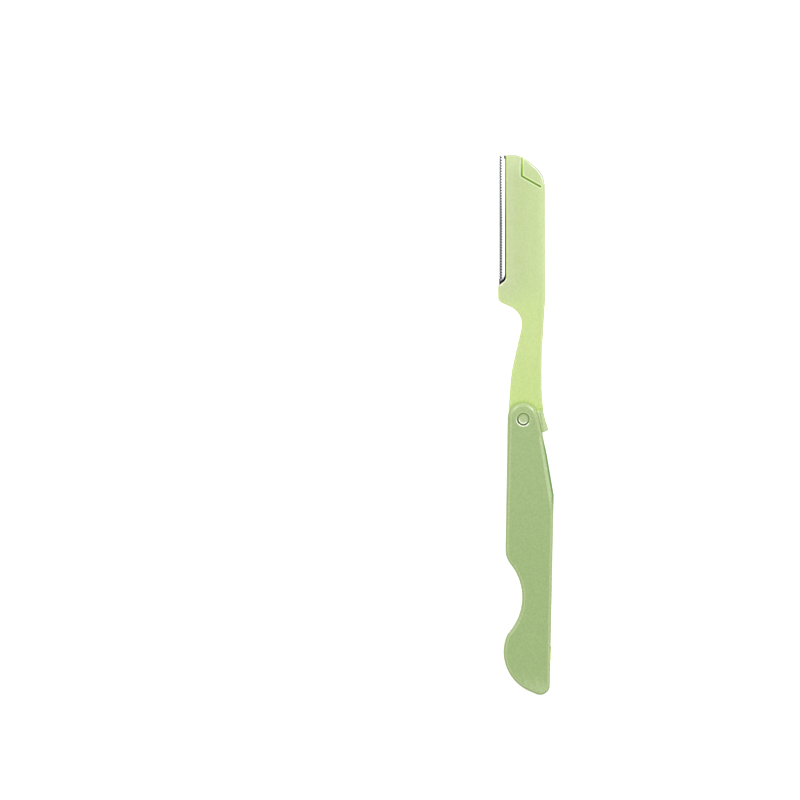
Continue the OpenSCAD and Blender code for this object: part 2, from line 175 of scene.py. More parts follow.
# %% [markdown]
# ## Coats
# One plastic shows many tones: paler where a wall is thin, deeper where light is trapped.
# They could be painted on an image, but that blurs from close by and needs an unwrapped
# mesh. Here each tone is a coat over a base colour, and a coat lies where its conditions
# hold. A condition is a value, the number where it starts to hold, and the number where it
# holds fully. The second may be the smaller one.

# %% Paint coats where conditions hold
# A Mix node's colour sockets share their names with its number sockets, so they are counted
MIX_A, MIX_B, MIX_OUT = 6, 7, 2


def share_where(tree, conditions):
    """1 where all conditions hold, and less where one of them fades."""
    share = 1.0
    for value, starts, full in conditions:
        step = add_node(tree, "ShaderNodeMapRange",
                        {"Value": value, "From Min": starts, "From Max": full},
                        out="Result", interpolation_type="SMOOTHSTEP")
        share = add_node(tree, "ShaderNodeMath", {0: step, 1: share}, out=0,
                         operation="MULTIPLY")
    return share


def painted(tree, base, coats):
    """A base colour under coats, each a hex colour and its conditions."""
    colour = linear(base)
    for coat, *conditions in coats:
        colour = add_node(tree, "ShaderNodeMix",
                          {0: share_where(tree, conditions), MIX_A: colour,
                           MIX_B: linear(coat)},
                          out=MIX_OUT, data_type="RGBA")
    return colour


print("coats mix sockets", MIX_A, "and", MIX_B, "into", MIX_OUT)

# %% [markdown]
# ## What a coat depends on
# A condition's value is where a point is, how its surface leans, or how closed in it is. A
# lean is a cosine: "level" is 1 on a level face, 0.98 on a slope of 11 degrees, 0.7 at 45
# degrees and 0 on a side wall. Closeness is ambient occlusion: 1 in the open, less in
# grooves and corners. Turned inwards, it is 1 in the middle of a wall and less along outer
# edges. Places and leans are counted in the piece's own coordinates, so that the tones ride
# with it when the razor folds.

# %% Start a material and measure its surface
# The brightest lamp stands at the upper right, so this points to the lower left
AWAY_FROM_LIGHT = (-0.6, -0.8, 0.0)
OUTWARDS, INWARDS = False, True
OCCLUSION_RAYS = 12


def shared_start(name):
    """A new material with its shader, and the pattern coordinates that ride with a piece."""
    material = bpy.data.materials.new(name)
    material.use_nodes = True
    tree = material.node_tree
    tree.nodes.clear()
    place = add_node(tree, "ShaderNodeTexCoord", out="Object")
    shader = add_node(tree, "ShaderNodeBsdfPrincipled")
    add_node(tree, "ShaderNodeOutputMaterial", {"Surface": shader.outputs[0]})
    return material, tree, place, shader


def surface_values(tree, place, closeness):
    """Values for conditions. Closeness gives, by name, how far and which way to look."""
    spot = add_node(tree, "ShaderNodeSeparateXYZ", {"Vector": place})
    facing = add_node(tree, "ShaderNodeTexCoord", out="Normal")
    lean = add_node(tree, "ShaderNodeSeparateXYZ", {"Vector": facing})
    from_mid = add_node(tree, "ShaderNodeMath", {0: spot.outputs["Z"], 1: pivot.z}, out=0,
                        operation="SUBTRACT")
    values = {
        "x": spot.outputs["X"],
        "y": spot.outputs["Y"],
        "height": add_node(tree, "ShaderNodeMath", {0: from_mid}, out=0, operation="ABSOLUTE"),
        "back": lean.outputs["X"],
        "shaded": add_node(tree, "ShaderNodeVectorMath", {0: facing, 1: AWAY_FROM_LIGHT},
                           out="Value", operation="DOT_PRODUCT"),
        "level": add_node(tree, "ShaderNodeMath", {0: lean.outputs["Z"]}, out=0,
                          operation="ABSOLUTE"),
    }
    for name, (reach, inwards) in closeness.items():
        values[name] = add_node(tree, "ShaderNodeAmbientOcclusion", {"Distance": reach},
                                out="AO", samples=OCCLUSION_RAYS, inside=inwards,
                                only_local=inwards)
    return values


print("closeness is measured with", OCCLUSION_RAYS, "rays")

# %% [markdown]
# ## Lines on a surface
# Some tones follow a line, such as a pressed stroke or the bend of an edge. The faces along
# it could be picked out in the mesh, but they are too coarse. The distance to the line needs
# no faces of its own, and it gives the line soft sides.

# %% Measure the distance to a line
FLATTEN = (1.0, 1.0, 0.0)


def distance_to_stroke(tree, place, start, end):
    """How far a point lies from a stroke, seen from above. Both ends are (x, y) in metres."""
    run = Vector((end[0] - start[0], end[1] - start[1], 0.0))
    flat = add_node(tree, "ShaderNodeVectorMath", {0: place, 1: FLATTEN}, out=0,
                    operation="MULTIPLY")
    offset = add_node(tree, "ShaderNodeVectorMath", {0: flat, 1: (*start, 0.0)}, out=0,
                      operation="SUBTRACT")
    along = add_node(tree, "ShaderNodeVectorMath",
                     {0: offset, 1: tuple(run / run.length_squared)}, out="Value",
                     operation="DOT_PRODUCT")
    kept = add_node(tree, "ShaderNodeClamp", {"Value": along}, out=0)
    nearest = add_node(tree, "ShaderNodeVectorMath", {0: tuple(run), "Scale": kept}, out=0,
                       operation="SCALE")
    return add_node(tree, "ShaderNodeVectorMath", {0: offset, 1: nearest}, out="Value",
                    operation="DISTANCE")


def distance_to_line(tree, place, spots):
    """How far a point lies from a line of strokes that runs from spot to spot."""
    first, *others = [distance_to_stroke(tree, place, start, end)
                      for start, end in zip(spots, spots[1:])]
    nearest = first
    for stroke in others:
        nearest = add_node(tree, "ShaderNodeMath", {0: nearest, 1: stroke}, out=0,
                           operation="MINIMUM")
    return nearest


print("a line is a list of spots, each (x, y) in metres")

# %% [markdown]
# ## Patterns that belong to moulded pieces
# Both plastics come out of steel moulds. The mould's walls are spark-eroded to a fine grain,
# which the plastic copies, and where thick plastic cools last the surface sinks a little. A
# mesh with such a grain would have millions of faces, so it is a bump, which only leans the
# shading. The grain is about 0.1 mm wide, finer than a pixel here, so it is drawn at three
# times that. The sinks are soft waves about as wide as a fingertip. The pigment isn't stirred
# in evenly either: where it is thick, in clouds about 0.5 mm wide, a tint multiplies every
# tone. The two halves of a mould leave a thin parting line half-way up the side walls.

# %% Draw grain, sinks, clouds and the parting line
GRAIN = 0.3 * MM
SINK = 11 * MM
CLOUD = 0.5 * MM
PARTING = 0.06 * MM


def moulded_surface(tree, place, grain_height, sink_depth):
    """A bump of mould grain on top of wide, soft sinks."""
    grain = add_node(tree, "ShaderNodeTexNoise",
                     {"Vector": place, "Scale": 1 / GRAIN, "Detail": 2.0, "Roughness": 0.55},
                     out="Fac")
    sinks = add_node(tree, "ShaderNodeTexNoise",
                     {"Vector": place, "Scale": 1 / SINK, "Detail": 0.0}, out="Fac")
    wide = add_node(tree, "ShaderNodeBump",
                    {"Height": sinks, "Distance": sink_depth, "Strength": 1.0}, out=0)
    return add_node(tree, "ShaderNodeBump",
                    {"Height": grain, "Distance": grain_height, "Strength": 1.0,
                     "Normal": wide}, out=0)


def clouded(tree, place, colour, tint):
    """A colour multiplied by a tint where the pigment is thick."""
    clouds = add_node(tree, "ShaderNodeTexNoise",
                      {"Vector": place, "Scale": 1 / CLOUD, "Detail": 2.0, "Roughness": 0.6},
                      out="Fac")
    return add_node(tree, "ShaderNodeMix",
                    {0: share_where(tree, [(clouds, 0.35, 0.65)]), MIX_A: colour,
                     MIX_B: linear(tint)},
                    out=MIX_OUT, data_type="RGBA", blend_type="MULTIPLY")


def on_parting(at):
    """The conditions of the parting line."""
    return (at["height"], 2 * PARTING, PARTING), (at["level"], 0.4, 0.2)


print("grain", GRAIN / MM, "mm, sinks", SINK / MM, "mm, clouds", CLOUD / MM, "mm")

# %% [markdown]
# ## From colour to plastic
# Both mouldings are polypropylene, whose IOR is 1.49. Their moulds were grained on the flats
# and polished on the rounded edges. So the roughness can't be one number: it runs from each
# plastic's own satin down to a polish, and only the IOR is the same all over.

# %% Finish a moulded plastic
POLYPROPYLENE_IOR = 1.49
POLISHED = 0.15


def finish_plastic(tree, place, shader, colour, polished_where, rough, relief):
    """Gives the shader its colour, a roughness that drops where polished, and its relief."""
    polish = add_node(tree, "ShaderNodeMapRange",
                      {"Value": share_where(tree, [polished_where]), "To Min": rough,
                       "To Max": POLISHED}, out="Result")
    tree.links.new(colour, shader.inputs["Base Color"])
    tree.links.new(polish, shader.inputs["Roughness"])
    tree.links.new(moulded_surface(tree, place, *relief), shader.inputs["Normal"])
    shader.inputs["IOR"].default_value = POLYPROPYLENE_IOR


print("polypropylene has an IOR of", POLYPROPYLENE_IOR)

# %% [markdown]
# ## The handle: sage polypropylene
# The handle is opaque polypropylene. The spark-eroded mould gives the eye a satin surface with
# no mirror in it and a colour that is even but not dead. The rounded edges are glossier, and a
# painted highlight makes them paler, palest in arcs on the ears. The thin wall behind the slot
# gets painted shade, a dark green line along the back edge, for light that enters it and is lost
# in the slot, and where the back slants towards the hinge a painted highlight lays a pale band
# inside that line. The side walls carry painted shading, and where they face away from the light
# a painted glow of a warmer green. At the solid butt a painted sheen makes the plastic paler, in
# soft slanting streaks, and the gate's own mark is painted bright. One colour with one gloss
# would look like paint, so each of these has its own coat.

# %% Choose the sage tones
# In the order in which the coats lie. Most of them are painted light and shade: a sheen at the
# butt, highlights on the flank, rims and ears, shading and a glow on the side walls, and shade
# along the back
SAGE = "#99b273"
SAGE_TINT = "#f0f3ea"
SAGE_UPPER = "#9db578"
SAGE_EAR = "#a6bc7f"
SAGE_BUTT_SHEEN = "#b1c590"
SAGE_FLANK_HIGHLIGHT = "#bace9b"
SAGE_RIM_HIGHLIGHT = "#bacc95"
SAGE_EAR_ARC_HIGHLIGHT = "#bdd294"
SAGE_SIDE_SHADING = "#a3bd76"
SAGE_GLOW = "#aacb68"
SAGE_BACK_SHADE = "#5c9433"
SAGE_GATE = "#e2f2ae"
SAGE_PARTING = "#7f9a58"
print("sage in linear light:", [round(v, 3) for v in linear(SAGE)])

# %% Lay the sage tones
BUTT_LENGTH = 8 * MM
STREAK_WIDTH = 0.8 * MM
STREAK_STRETCH = 14.0
STREAK_TURN = math.radians(21)
FLANK = [(right(5.1), up(-5.5)), (right(6.64), up(-14.8)), (right(8.35), up(-25.6))]
FLANK_HALF = 0.75 * MM
FLANK_CORE = 0.2 * MM
ROUNDED = (0.997, 0.975)


# Streaks for the painted sheen at the butt
def sheen_streaks(tree, place):
    """Noise drawn out into streaks that lean to the side."""
    turned = add_node(tree, "ShaderNodeMapping",
                      {"Vector": place, "Rotation": (0, 0, STREAK_TURN),
                       "Scale": (1.0, STREAK_STRETCH, 1.0)}, out=0, vector_type="TEXTURE")
    return add_node(tree, "ShaderNodeTexNoise",
                    {"Vector": turned, "Scale": 1 / STREAK_WIDTH}, out="Fac")


def sage_coats(tree, place, at):
    """The coats of the handle, from the base colour outwards."""
    x, y, level = at["x"], at["y"], at["level"]
    sheen_at_butt = [(y, handle_low.y + BUTT_LENGTH, handle_low.y),
               (sheen_streaks(tree, place), 0.25, 0.6)]
    highlight_on_flank = (distance_to_line(tree, place, FLANK), FLANK_HALF, FLANK_CORE)
    below_ears = (y, up(-1), up(-4))
    shade_behind_slot = [(level, 0.96, 0.82), (level, 0.05, 0.35), (at["back"], 0.2, 0.45),
                   (y, up(-4), up(-10)), (y, up(-28.5), up(-20))]
    on_gate = [(x, right(7.45), right(7.65)), (at["height"], 2.3 * MM, 2 * MM),
               (y, up(-71), up(-70.7)), (y, up(-66), up(-68.8))]
    return [
        (SAGE_UPPER, (y, up(-45), up(-5))),
        (SAGE_EAR, (y, up(0), up(3))),
        # A painted sheen at the butt, in soft slanting streaks
        (SAGE_BUTT_SHEEN, *sheen_at_butt),
        # A painted highlight on the rounded edge of the slanted flank
        (SAGE_FLANK_HIGHLIGHT, highlight_on_flank),
        # Painted highlights on the rounded edges, paler still at the arcs on the ears
        (SAGE_RIM_HIGHLIGHT, (level, *ROUNDED)),
        (SAGE_EAR_ARC_HIGHLIGHT, (level, *ROUNDED), (y, up(0), up(2))),
        # Painted shading on the side walls, and a painted glow where they face away from the
        # light
        (SAGE_SIDE_SHADING, (level, 0.8, 0.55), below_ears),
        (SAGE_SIDE_SHADING, (level, 0.9, 0.72), (at["shaded"], 0.0, 0.3)),
        (SAGE_GLOW, (level, 0.8, 0.3), (at["shaded"], 0.1, 0.4), below_ears),
        # Painted shade along the thin back wall behind the slot
        (SAGE_BACK_SHADE, *shade_behind_slot),
        (SAGE_GATE, *on_gate),
        (SAGE_PARTING, *on_parting(at)),
    ]


print("streaks", STREAK_WIDTH / MM, "mm wide and", STREAK_STRETCH, "times as long")

# %% [markdown]
# ## Round the pin
# A painted highlight makes the plastic round the hole paler, and brighter where light from the
# upper right catches the far side of the ring groove, at the lower left, while painted shade
# darkens the groove's floor, most of all there, the darkest spot of the handle. The groove is in
# the mesh, but it is only a pixel or two wide and the lamps draw it too faintly, so its
# crescents are painted coats. Each lies between two radii, and starts and fills at two distances
# from the pin's axis, counted towards where light is caught.

# %% Lay the tones of the ring
# Painted shade in the ring groove and painted highlights round it
RING_GROOVE_SHADE = "#84a354"
RING_CRESCENT_SHADOW = "#122a00"
RING_RIM_HIGHLIGHT = "#bccf98"
RING_CRESCENT_HIGHLIGHT = "#f4fbe0"
RING_OUTER = pin_radius + 0.38 * MM
RING_RIM = pin_radius + 0.75 * MM
RING_SOFT = 0.08 * MM
HIGHLIGHT_CRESCENT = (-0.1 * MM, 1.4 * MM)
SHADOW_CRESCENT = (-0.3 * MM, 1.2 * MM)
# Straight down, and a little to the left: there the ring's walls face the lamps best
CATCHES_LIGHT = (-0.37, -0.93, 0.0)


def ring_values(tree, place):
    """How far a point is from the pin's axis, and how far towards where light is caught."""
    offset = add_node(tree, "ShaderNodeVectorMath",
                      {0: place, 1: (pivot.x, pivot.y, 0.0)}, out=0, operation="SUBTRACT")
    flat = add_node(tree, "ShaderNodeVectorMath", {0: offset, 1: FLATTEN}, out=0,
                    operation="MULTIPLY")
    radius = add_node(tree, "ShaderNodeVectorMath", {0: flat}, out="Value",
                      operation="LENGTH")
    caught = add_node(tree, "ShaderNodeVectorMath", {0: flat, 1: CATCHES_LIGHT},
                      out="Value", operation="DOT_PRODUCT")
    return radius, caught


def ring_coats(tree, place, at):
    """The painted shade in the ring groove and the painted highlights on the plastic round it.
    """
    radius, caught = ring_values(tree, place)
    highlight_on_rim = [(radius, RING_OUTER - RING_SOFT, RING_OUTER),
              (radius, RING_RIM, RING_RIM - 2 * RING_SOFT)]
    shade_in_groove = [(radius, RING_OUTER, RING_OUTER - RING_SOFT), (at["open"], 0.8, 0.5)]
    return [
        # Painted highlights on the rim round the hole, brightest at the lower left
        (RING_RIM_HIGHLIGHT, *highlight_on_rim),
        (RING_CRESCENT_HIGHLIGHT, *highlight_on_rim, (caught, *HIGHLIGHT_CRESCENT)),
        # Painted shade in the groove, darkest at the lower left
        (RING_GROOVE_SHADE, *shade_in_groove),
        (RING_CRESCENT_SHADOW, *shade_in_groove, (caught, *SHADOW_CRESCENT)),
    ]


print("ring from", round(RING_OUTER / MM, 2), "to", round(RING_RIM / MM, 2), "mm")

# %% Mix the sage polypropylene
RING_REACH = 0.5 * MM
SAGE_SATIN = 0.42
SAGE_RELIEF = (0.006 * MM, 0.02 * MM)


def sage_polypropylene():
    """The handle's plastic."""
    material, tree, place, shader = shared_start("sage_polypropylene_satin")
    at = surface_values(tree, place, {"open": (RING_REACH, OUTWARDS)})
    colour = painted(tree, SAGE, sage_coats(tree, place, at) + ring_coats(tree, place, at))
    finish_plastic(tree, place, shader, clouded(tree, place, colour, SAGE_TINT),
                   (at["level"], *ROUNDED), SAGE_SATIN, SAGE_RELIEF)
    return material


handle_plastic = sage_polypropylene()
print("made", handle_plastic.name, "with", len(handle_plastic.node_tree.nodes), "nodes")

# %% [markdown]
# ## The arm: frosted lime polypropylene
# The arm is the same plastic with much less pigment, so light goes in, scatters and comes
# out a little further on. That is subsurface scattering. It makes the thin neck bright and
# turns corners and grooves a deeper lime, because light has crossed more plastic before it
# leaves them. Outer edges glow paler, because light reaches them from two sides. The steel
# inside the head shows through as a greyer, paler strip, with the dullest stretch just
# behind it. The heel, which is twice as thick, looks milky, and the narrow gap beside it
# is filled with pale light. Scattering alone wouldn't see the steel, and it needs very many
# samples to be exact, so coats give the tones and a little real scattering softens them.

# %% Choose the lime tones
# In the order in which the coats lie. Foot, head and tip are stretches of the arm. The shade,
# the gap's light, the edge glow, the gleams and the glow are painted light and shade
LIME = "#cadc92"
LIME_TINT = "#f6f8f2"
LIME_FOOT = "#c7db8a"
LIME_HEAD = "#c5d698"
LIME_BACK = "#cfdfa2"
LIME_BEHIND_STEEL = "#c1d196"
LIME_OVER_STEEL = "#c6d3a1"
LIME_TIP = "#d0deab"
LIME_SHADE = "#aacb52"
LIME_GAP_LIGHT = "#e9ffc0"
LIME_PARTING = "#a9bf6a"
LIME_EDGE_GLOW = "#ecf6d2"
LIME_GLEAM = "#fdfff4"
LIME_CORNER_SHADE = "#b9ca90"
LIME_GLOW = "#d8ea86"
LIME_HEEL = "#c0d29c"
print("lime in linear light:", [round(v, 3) for v in linear(LIME)])

# %% Lay the lime tones
HEEL_RISE = arm_high.z - pivot.z


def lime_coats(at):
    """The coats along the arm, on its side walls and on its outer edges."""
    x, y = at["x"], at["y"]
    on_head = (y, blade_low.y - 7 * MM, blade_low.y + 5 * MM)
    under_heel_top = (at["height"], HEEL_RISE - 0.7 * MM, HEEL_RISE - 0.9 * MM)
    light_in_gap = [(at["open"], 1.0, 0.8), under_heel_top, (x, right(2.5), right(3.5)),
              (y, up(3), up(2))]
    return [
        (LIME_FOOT, (y, up(24), up(6))),
        (LIME_HEAD, on_head),
        (LIME_BACK, on_head, (x, right(3.5), right(6.4))),
        (LIME_BEHIND_STEEL, on_head, (x, right(3.5), blade_high.x + 0.5 * MM)),
        (LIME_OVER_STEEL, on_head, (x, blade_high.x + 0.3 * MM, blade_high.x - 1.5 * MM)),
        (LIME_TIP, (y, arm_high.y - 7 * MM, arm_high.y)),
        # Painted shade where the arm is closed in, and painted light in the narrow gap beside
        # the heel
        (LIME_SHADE, (at["open"], 0.97, 0.5), under_heel_top, (y, up(-1), up(2))),
        (LIME_GAP_LIGHT, *light_in_gap),
        (LIME_PARTING, *on_parting(at)),
        # A painted glow along the outer edges
        (LIME_EDGE_GLOW, (at["rim"], 0.98, 0.66), (y, up(2.5), up(5))),
    ]


def gleam_coats(at):
    """The painted highlight round the head's corner, the painted shade outside it, and the
    painted glow on sides in the shade.
    """
    on_corner = [(at["y"], arm_high.y - 9.5 * MM, arm_high.y - 7 * MM),
                 (at["x"], right(1), right(3))]
    return [
        (LIME_GLEAM, (at["level"], 0.996, 0.985), *on_corner),
        (LIME_CORNER_SHADE, (at["level"], 0.93, 0.86), *on_corner),
        (LIME_GLOW, (at["level"], 0.985, 0.9), (at["shaded"], 0.1, 0.35)),
    ]


def heel_coats(at):
    """The milky top of the heel."""
    on_heel = [(at["height"], HEEL_RISE - 0.6 * MM, HEEL_RISE - 0.4 * MM),
               (at["y"], up(8), up(5))]
    return [(LIME_HEEL, *on_heel)]


print("the heel rises", round(HEEL_RISE / MM, 2), "mm above the middle")

# %% [markdown]
# ## Lines on the head
# Two short strokes are pressed into the head's corner. Painted shade gives their sides a clear
# lime and their floors a deeper one, and runs on to the tip as a faint lead, and a painted
# highlight lies on the lip round them. Light leaves through the rims of the window that the
# steel sits in, so these get a painted glow, and the window's foot a painted highlight. The cuts
# themselves are in the mesh. The tones beside them have no edges there to follow, so they follow
# lines.

# %% Lay the lines on the head
# Painted shade in the strokes, a painted highlight on their lip and a painted glow on the
# window's rim
LIME_GROOVE_SHADE = "#6c9400"
LIME_GROOVE_SIDE_SHADE = "#9cc81e"
LIME_GROOVE_LEAD_SHADE = "#bbd072"
LIME_LIP_HIGHLIGHT = "#ebf6cf"
LIME_SEAM_RIM_GLOW = "#e9f7c6"
LEAD_TOP = (right(-0.36), up(76.6))
GROOVE_TOP = (right(-0.36), up(74.4))
GROOVE_FOOT = (right(-0.36), up(71.2))
GROOVE_END = (right(5.0), up(68.15))
GROOVE_SIDE = (0.4 * MM, 0.28 * MM)
GROOVE_LIP = (0.64 * MM, 0.44 * MM)
SEAT_X, WINDOW_FOOT = right(-5.05), up(40.8)
FOOT_START = (right(-5.05), up(41.15))
FOOT_END = (right(-6.6), up(39.4))
RIM_FAR, RIM_NEAR = 0.4 * MM, 0.25 * MM


def window_coats(tree, place, at):
    """The painted glow on the rim beside the steel and the painted highlight at the foot of its
    window.
    """
    foot = distance_to_line(tree, place, [FOOT_START, FOOT_END])
    beside_steel = [(at["x"], SEAT_X + RIM_FAR, SEAT_X + RIM_NEAR),
                    (at["y"], WINDOW_FOOT, FOOT_START[1]), (at["level"], 0.9, 0.98)]
    return [
        (LIME_SEAM_RIM_GLOW, *beside_steel),
        (LIME_GLEAM, (foot, RIM_FAR, RIM_NEAR)),
    ]


def groove_coats(tree, place, at):
    """The painted highlight on the lip, and the painted shade of the lead, the sides and the
    floor of the strokes and of the nick at the tip.
    """
    y = at["y"]
    strokes = distance_to_line(tree, place, [GROOVE_TOP, GROOVE_FOOT, GROOVE_END])
    with_lead = distance_to_line(tree, place, [LEAD_TOP, GROOVE_TOP, GROOVE_FOOT, GROOVE_END])
    shade_on_floor = [(at["cut"], 0.9, 0.6), (y, blade_low.y, blade_high.y - 15 * MM),
                (y, GROOVE_TOP[1], GROOVE_FOOT[1])]
    shade_in_nick = [(at["cut"], 0.95, 0.8), (y, arm_high.y - 3.6 * MM, arm_high.y - 2.8 * MM)]
    return [
        (LIME_LIP_HIGHLIGHT, (with_lead, *GROOVE_LIP)),
        (LIME_GROOVE_LEAD_SHADE, (with_lead, *GROOVE_SIDE)),
        (LIME_GROOVE_SIDE_SHADE, (strokes, *GROOVE_SIDE)),
        (LIME_GROOVE_SHADE, *shade_on_floor),
        (LIME_GROOVE_LEAD_SHADE, *shade_in_nick),
    ]


print("window foot in mm from the pivot:", round((WINDOW_FOOT - pivot.y) / MM, 2))

# %% Mix the lime polypropylene
SHADE_REACH = 1.6 * MM
CUT_REACH = 0.5 * MM
EDGE_REACH = 0.6 * MM
LIME_POLISHED = (0.999, 0.93)
LIME_FROST = 0.38
LIME_RELIEF = (0.004 * MM, 0.015 * MM)
# Half of the light that isn't mirrored comes back from inside. Green goes furthest
SCATTERED = 0.5
SCATTER = 0.4 * MM
SCATTER_BY_COLOUR = (0.8, 1.0, 0.35)


def lime_polypropylene():
    """The arm's plastic."""
    material, tree, place, shader = shared_start("lime_polypropylene_frosted")
    at = surface_values(tree, place, {"open": (SHADE_REACH, OUTWARDS),
                                      "cut": (CUT_REACH, OUTWARDS),
                                      "rim": (EDGE_REACH, INWARDS)})
    colour = painted(tree, LIME, [
        *lime_coats(at), *window_coats(tree, place, at), *gleam_coats(at),
        *groove_coats(tree, place, at), *heel_coats(at)])
    finish_plastic(tree, place, shader, clouded(tree, place, colour, LIME_TINT),
                   (at["level"], *LIME_POLISHED), LIME_FROST, LIME_RELIEF)
    shader.inputs["Subsurface Weight"].default_value = SCATTERED
    shader.inputs["Subsurface Radius"].default_value = SCATTER_BY_COLOUR
    shader.inputs["Subsurface Scale"].default_value = SCATTER
    return material


arm_plastic = lime_polypropylene()
print("made", arm_plastic.name, "with", len(arm_plastic.node_tree.nodes), "nodes")

# %% [markdown]
# ## The pin: polished acetal
# The pin is turned from a harder plastic, acetal, whose smooth ends are glossier than the handle
# round them. Its IOR is 1.48. A painted highlight lies where the wall of its shallow dish would
# catch the light, on the side away from the lamp, and painted shade darkens the pin's edge,
# darkest on that side too, as at the ring groove. The turning tool leaves rings about 0.05 mm
# apart. They could be cut into the mesh, but they are far finer than a pixel, so a wave pattern
# draws them as coarse as they need to be to show, 1.26 mm apart.

# %% Choose the pin's tones
PIN_DEEP = "#a2b87f"
PIN_PALE = "#a9bf87"
# A painted highlight in the dish, and painted shade and a painted shadow round the pin's edge
PIN_DISH_HIGHLIGHT = "#f6fde0"
PIN_EDGE_SHADE = "#94ae6a"
PIN_EDGE_SHADOW = "#233608"
CRESCENT_INNER = 0.66 * pin_radius
CRESCENT_OUTER = 0.9 * pin_radius
PIN_EDGE = (0.93 * pin_radius, 0.96 * pin_radius)
DISH_HIGHLIGHT_CRESCENT = (0.0, 0.7 * MM)
EDGE_SHADOW_CRESCENT = (-0.3 * MM, 1.1 * MM)
print("crescent from", round(CRESCENT_INNER / MM, 2), "to", round(CRESCENT_OUTER / MM, 2), "mm")

# %% Mix the pin's plastic
ACETAL_IOR = 1.48
ACETAL_ROUGH = 0.24
# A wave node at scale 1 has its rings this far apart
WAVE_STEP = math.tau / 20
TOOL_STEP = 0.4 * math.pi * MM
TOOL_DEPTH = 0.003 * MM


def turned_acetal():
    """The pin's plastic."""
    material, tree, place, shader = shared_start("sage_acetal_turned")
    centred = add_node(tree, "ShaderNodeVectorMath", {0: place, 1: tuple(pivot)}, out=0,
                       operation="SUBTRACT")
    rings = add_node(tree, "ShaderNodeTexWave",
                     {"Vector": centred, "Scale": WAVE_STEP / TOOL_STEP, "Distortion": 0.4},
                     out="Fac", wave_type="RINGS", rings_direction="Z")
    radius, caught = ring_values(tree, place)
    in_dish = [(radius, CRESCENT_INNER, CRESCENT_INNER + RING_SOFT),
               (radius, CRESCENT_OUTER, CRESCENT_OUTER - RING_SOFT)]
    colour = painted(tree, PIN_DEEP, [
        (PIN_PALE, (rings, 0.0, 1.0)),
        # A painted highlight in the dish, then painted shade round the edge, darkest at the
        # lower left
        (PIN_DISH_HIGHLIGHT, *in_dish, (caught, *DISH_HIGHLIGHT_CRESCENT)),
        (PIN_EDGE_SHADE, (radius, *PIN_EDGE)),
        (PIN_EDGE_SHADOW, (radius, *PIN_EDGE), (caught, *EDGE_SHADOW_CRESCENT)),
    ])
    turned = add_node(tree, "ShaderNodeBump", {"Height": rings, "Distance": TOOL_DEPTH}, out=0)
    tree.links.new(colour, shader.inputs["Base Color"])
    tree.links.new(turned, shader.inputs["Normal"])
    shader.inputs["Roughness"].default_value = ACETAL_ROUGH
    shader.inputs["IOR"].default_value = ACETAL_IOR
    return material


pin_plastic = turned_acetal()
print("made", pin_plastic.name, "with", len(pin_plastic.node_tree.nodes), "nodes")

# %% [markdown]
# ## Blade and guard: stainless steel
# The blade is hardened strip, ground to a bevel on both sides. Grinding leaves fine lines across
# the bevel, and between the guard's teeth, where it lies in shade, it is painted a dark grey.
# The guard is bright rolled foil, folded over the edge, with long rolling lines. A metal has no
# colour under its gloss: its base colour is what it reflects, and it keeps the default IOR. The
# lines could be scratches in a picture, but noise drawn out one way has no end and no seam. Real
# ones are about 0.02 mm apart, and these are drawn at 0.12 and 0.25 mm, about a pixel, to show.

# %% Make a steel with lines
GRIND = 0.12 * MM
ROLL = 0.25 * MM
LINE_DEPTH = 0.0015 * MM
# Noise seldom leaves this span
NOISE_LOW, NOISE_HIGH = 0.3, 0.7


def drawn_lines(tree, place, across, stretch):
    """Noise drawn out into fine lines, as wide as across."""
    drawn = add_node(tree, "ShaderNodeMapping", {"Vector": place, "Scale": stretch}, out=0)
    return add_node(tree, "ShaderNodeTexNoise",
                    {"Vector": drawn, "Scale": 1 / across, "Detail": 2.0}, out="Fac")


def steel(name, across, stretch, smoothest, roughest):
    """A metal whose lines change its gloss and lean its shading."""
    material, tree, place, shader = shared_start(name)
    lines = drawn_lines(tree, place, across, stretch)
    gloss = add_node(tree, "ShaderNodeMapRange",
                     {"Value": lines, "From Min": NOISE_LOW, "From Max": NOISE_HIGH,
                      "To Min": smoothest, "To Max": roughest}, out="Result")
    scratched = add_node(tree, "ShaderNodeBump", {"Height": lines, "Distance": LINE_DEPTH},
                         out=0)
    tree.links.new(gloss, shader.inputs["Roughness"])
    tree.links.new(scratched, shader.inputs["Normal"])
    shader.inputs["Metallic"].default_value = 1.0
    return material, tree, place, shader, lines


print("grinding lines", GRIND / MM, "mm and rolling lines", ROLL / MM, "mm wide")

# %% Make the blade's ground steel
# Painted dark grey, the shade the blade lies in between the teeth, with paler grinding lines
STEEL_GROUND_SHADE = "#151619"
STEEL_GROUND_SHADE_LINES = "#2b2d31"


def ground_blade_steel():
    """Steel with lines across the bevel, painted dark grey as the shade it lies in between the
    teeth.
    """
    material, tree, _, shader, lines = steel(
        "stainless_strip_ground", across=GRIND, stretch=(0.04, 1.0, 1.0),
        smoothest=0.22, roughest=0.38)
    colour = painted(tree, STEEL_GROUND_SHADE,
                     [(STEEL_GROUND_SHADE_LINES, (lines, NOISE_LOW, NOISE_HIGH))])
    tree.links.new(colour, shader.inputs["Base Color"])
    return material


blade_steel = ground_blade_steel()
print("made", blade_steel.name, "with", len(blade_steel.node_tree.nodes), "nodes")

# %% [markdown]
# ## Painted shade and reflection on the foil
# The nose of the fold gets a painted dark reflection, and the teeth get painted shade that makes
# them darker than the flat, most of all in the lower half of the comb. The narrow corner between
# foil and plastic gets painted shade, grey near the tip and nearly black further down, as in any
# deep, bright seam. Lamps and shadows could give the last, but the corner is about a pixel wide,
# so a coat gives it. The widths are counted from the nose of the fold, and in the seam from the
# plastic.

# %% Make the guard's rolled foil
STEEL = "#e4e7e9"
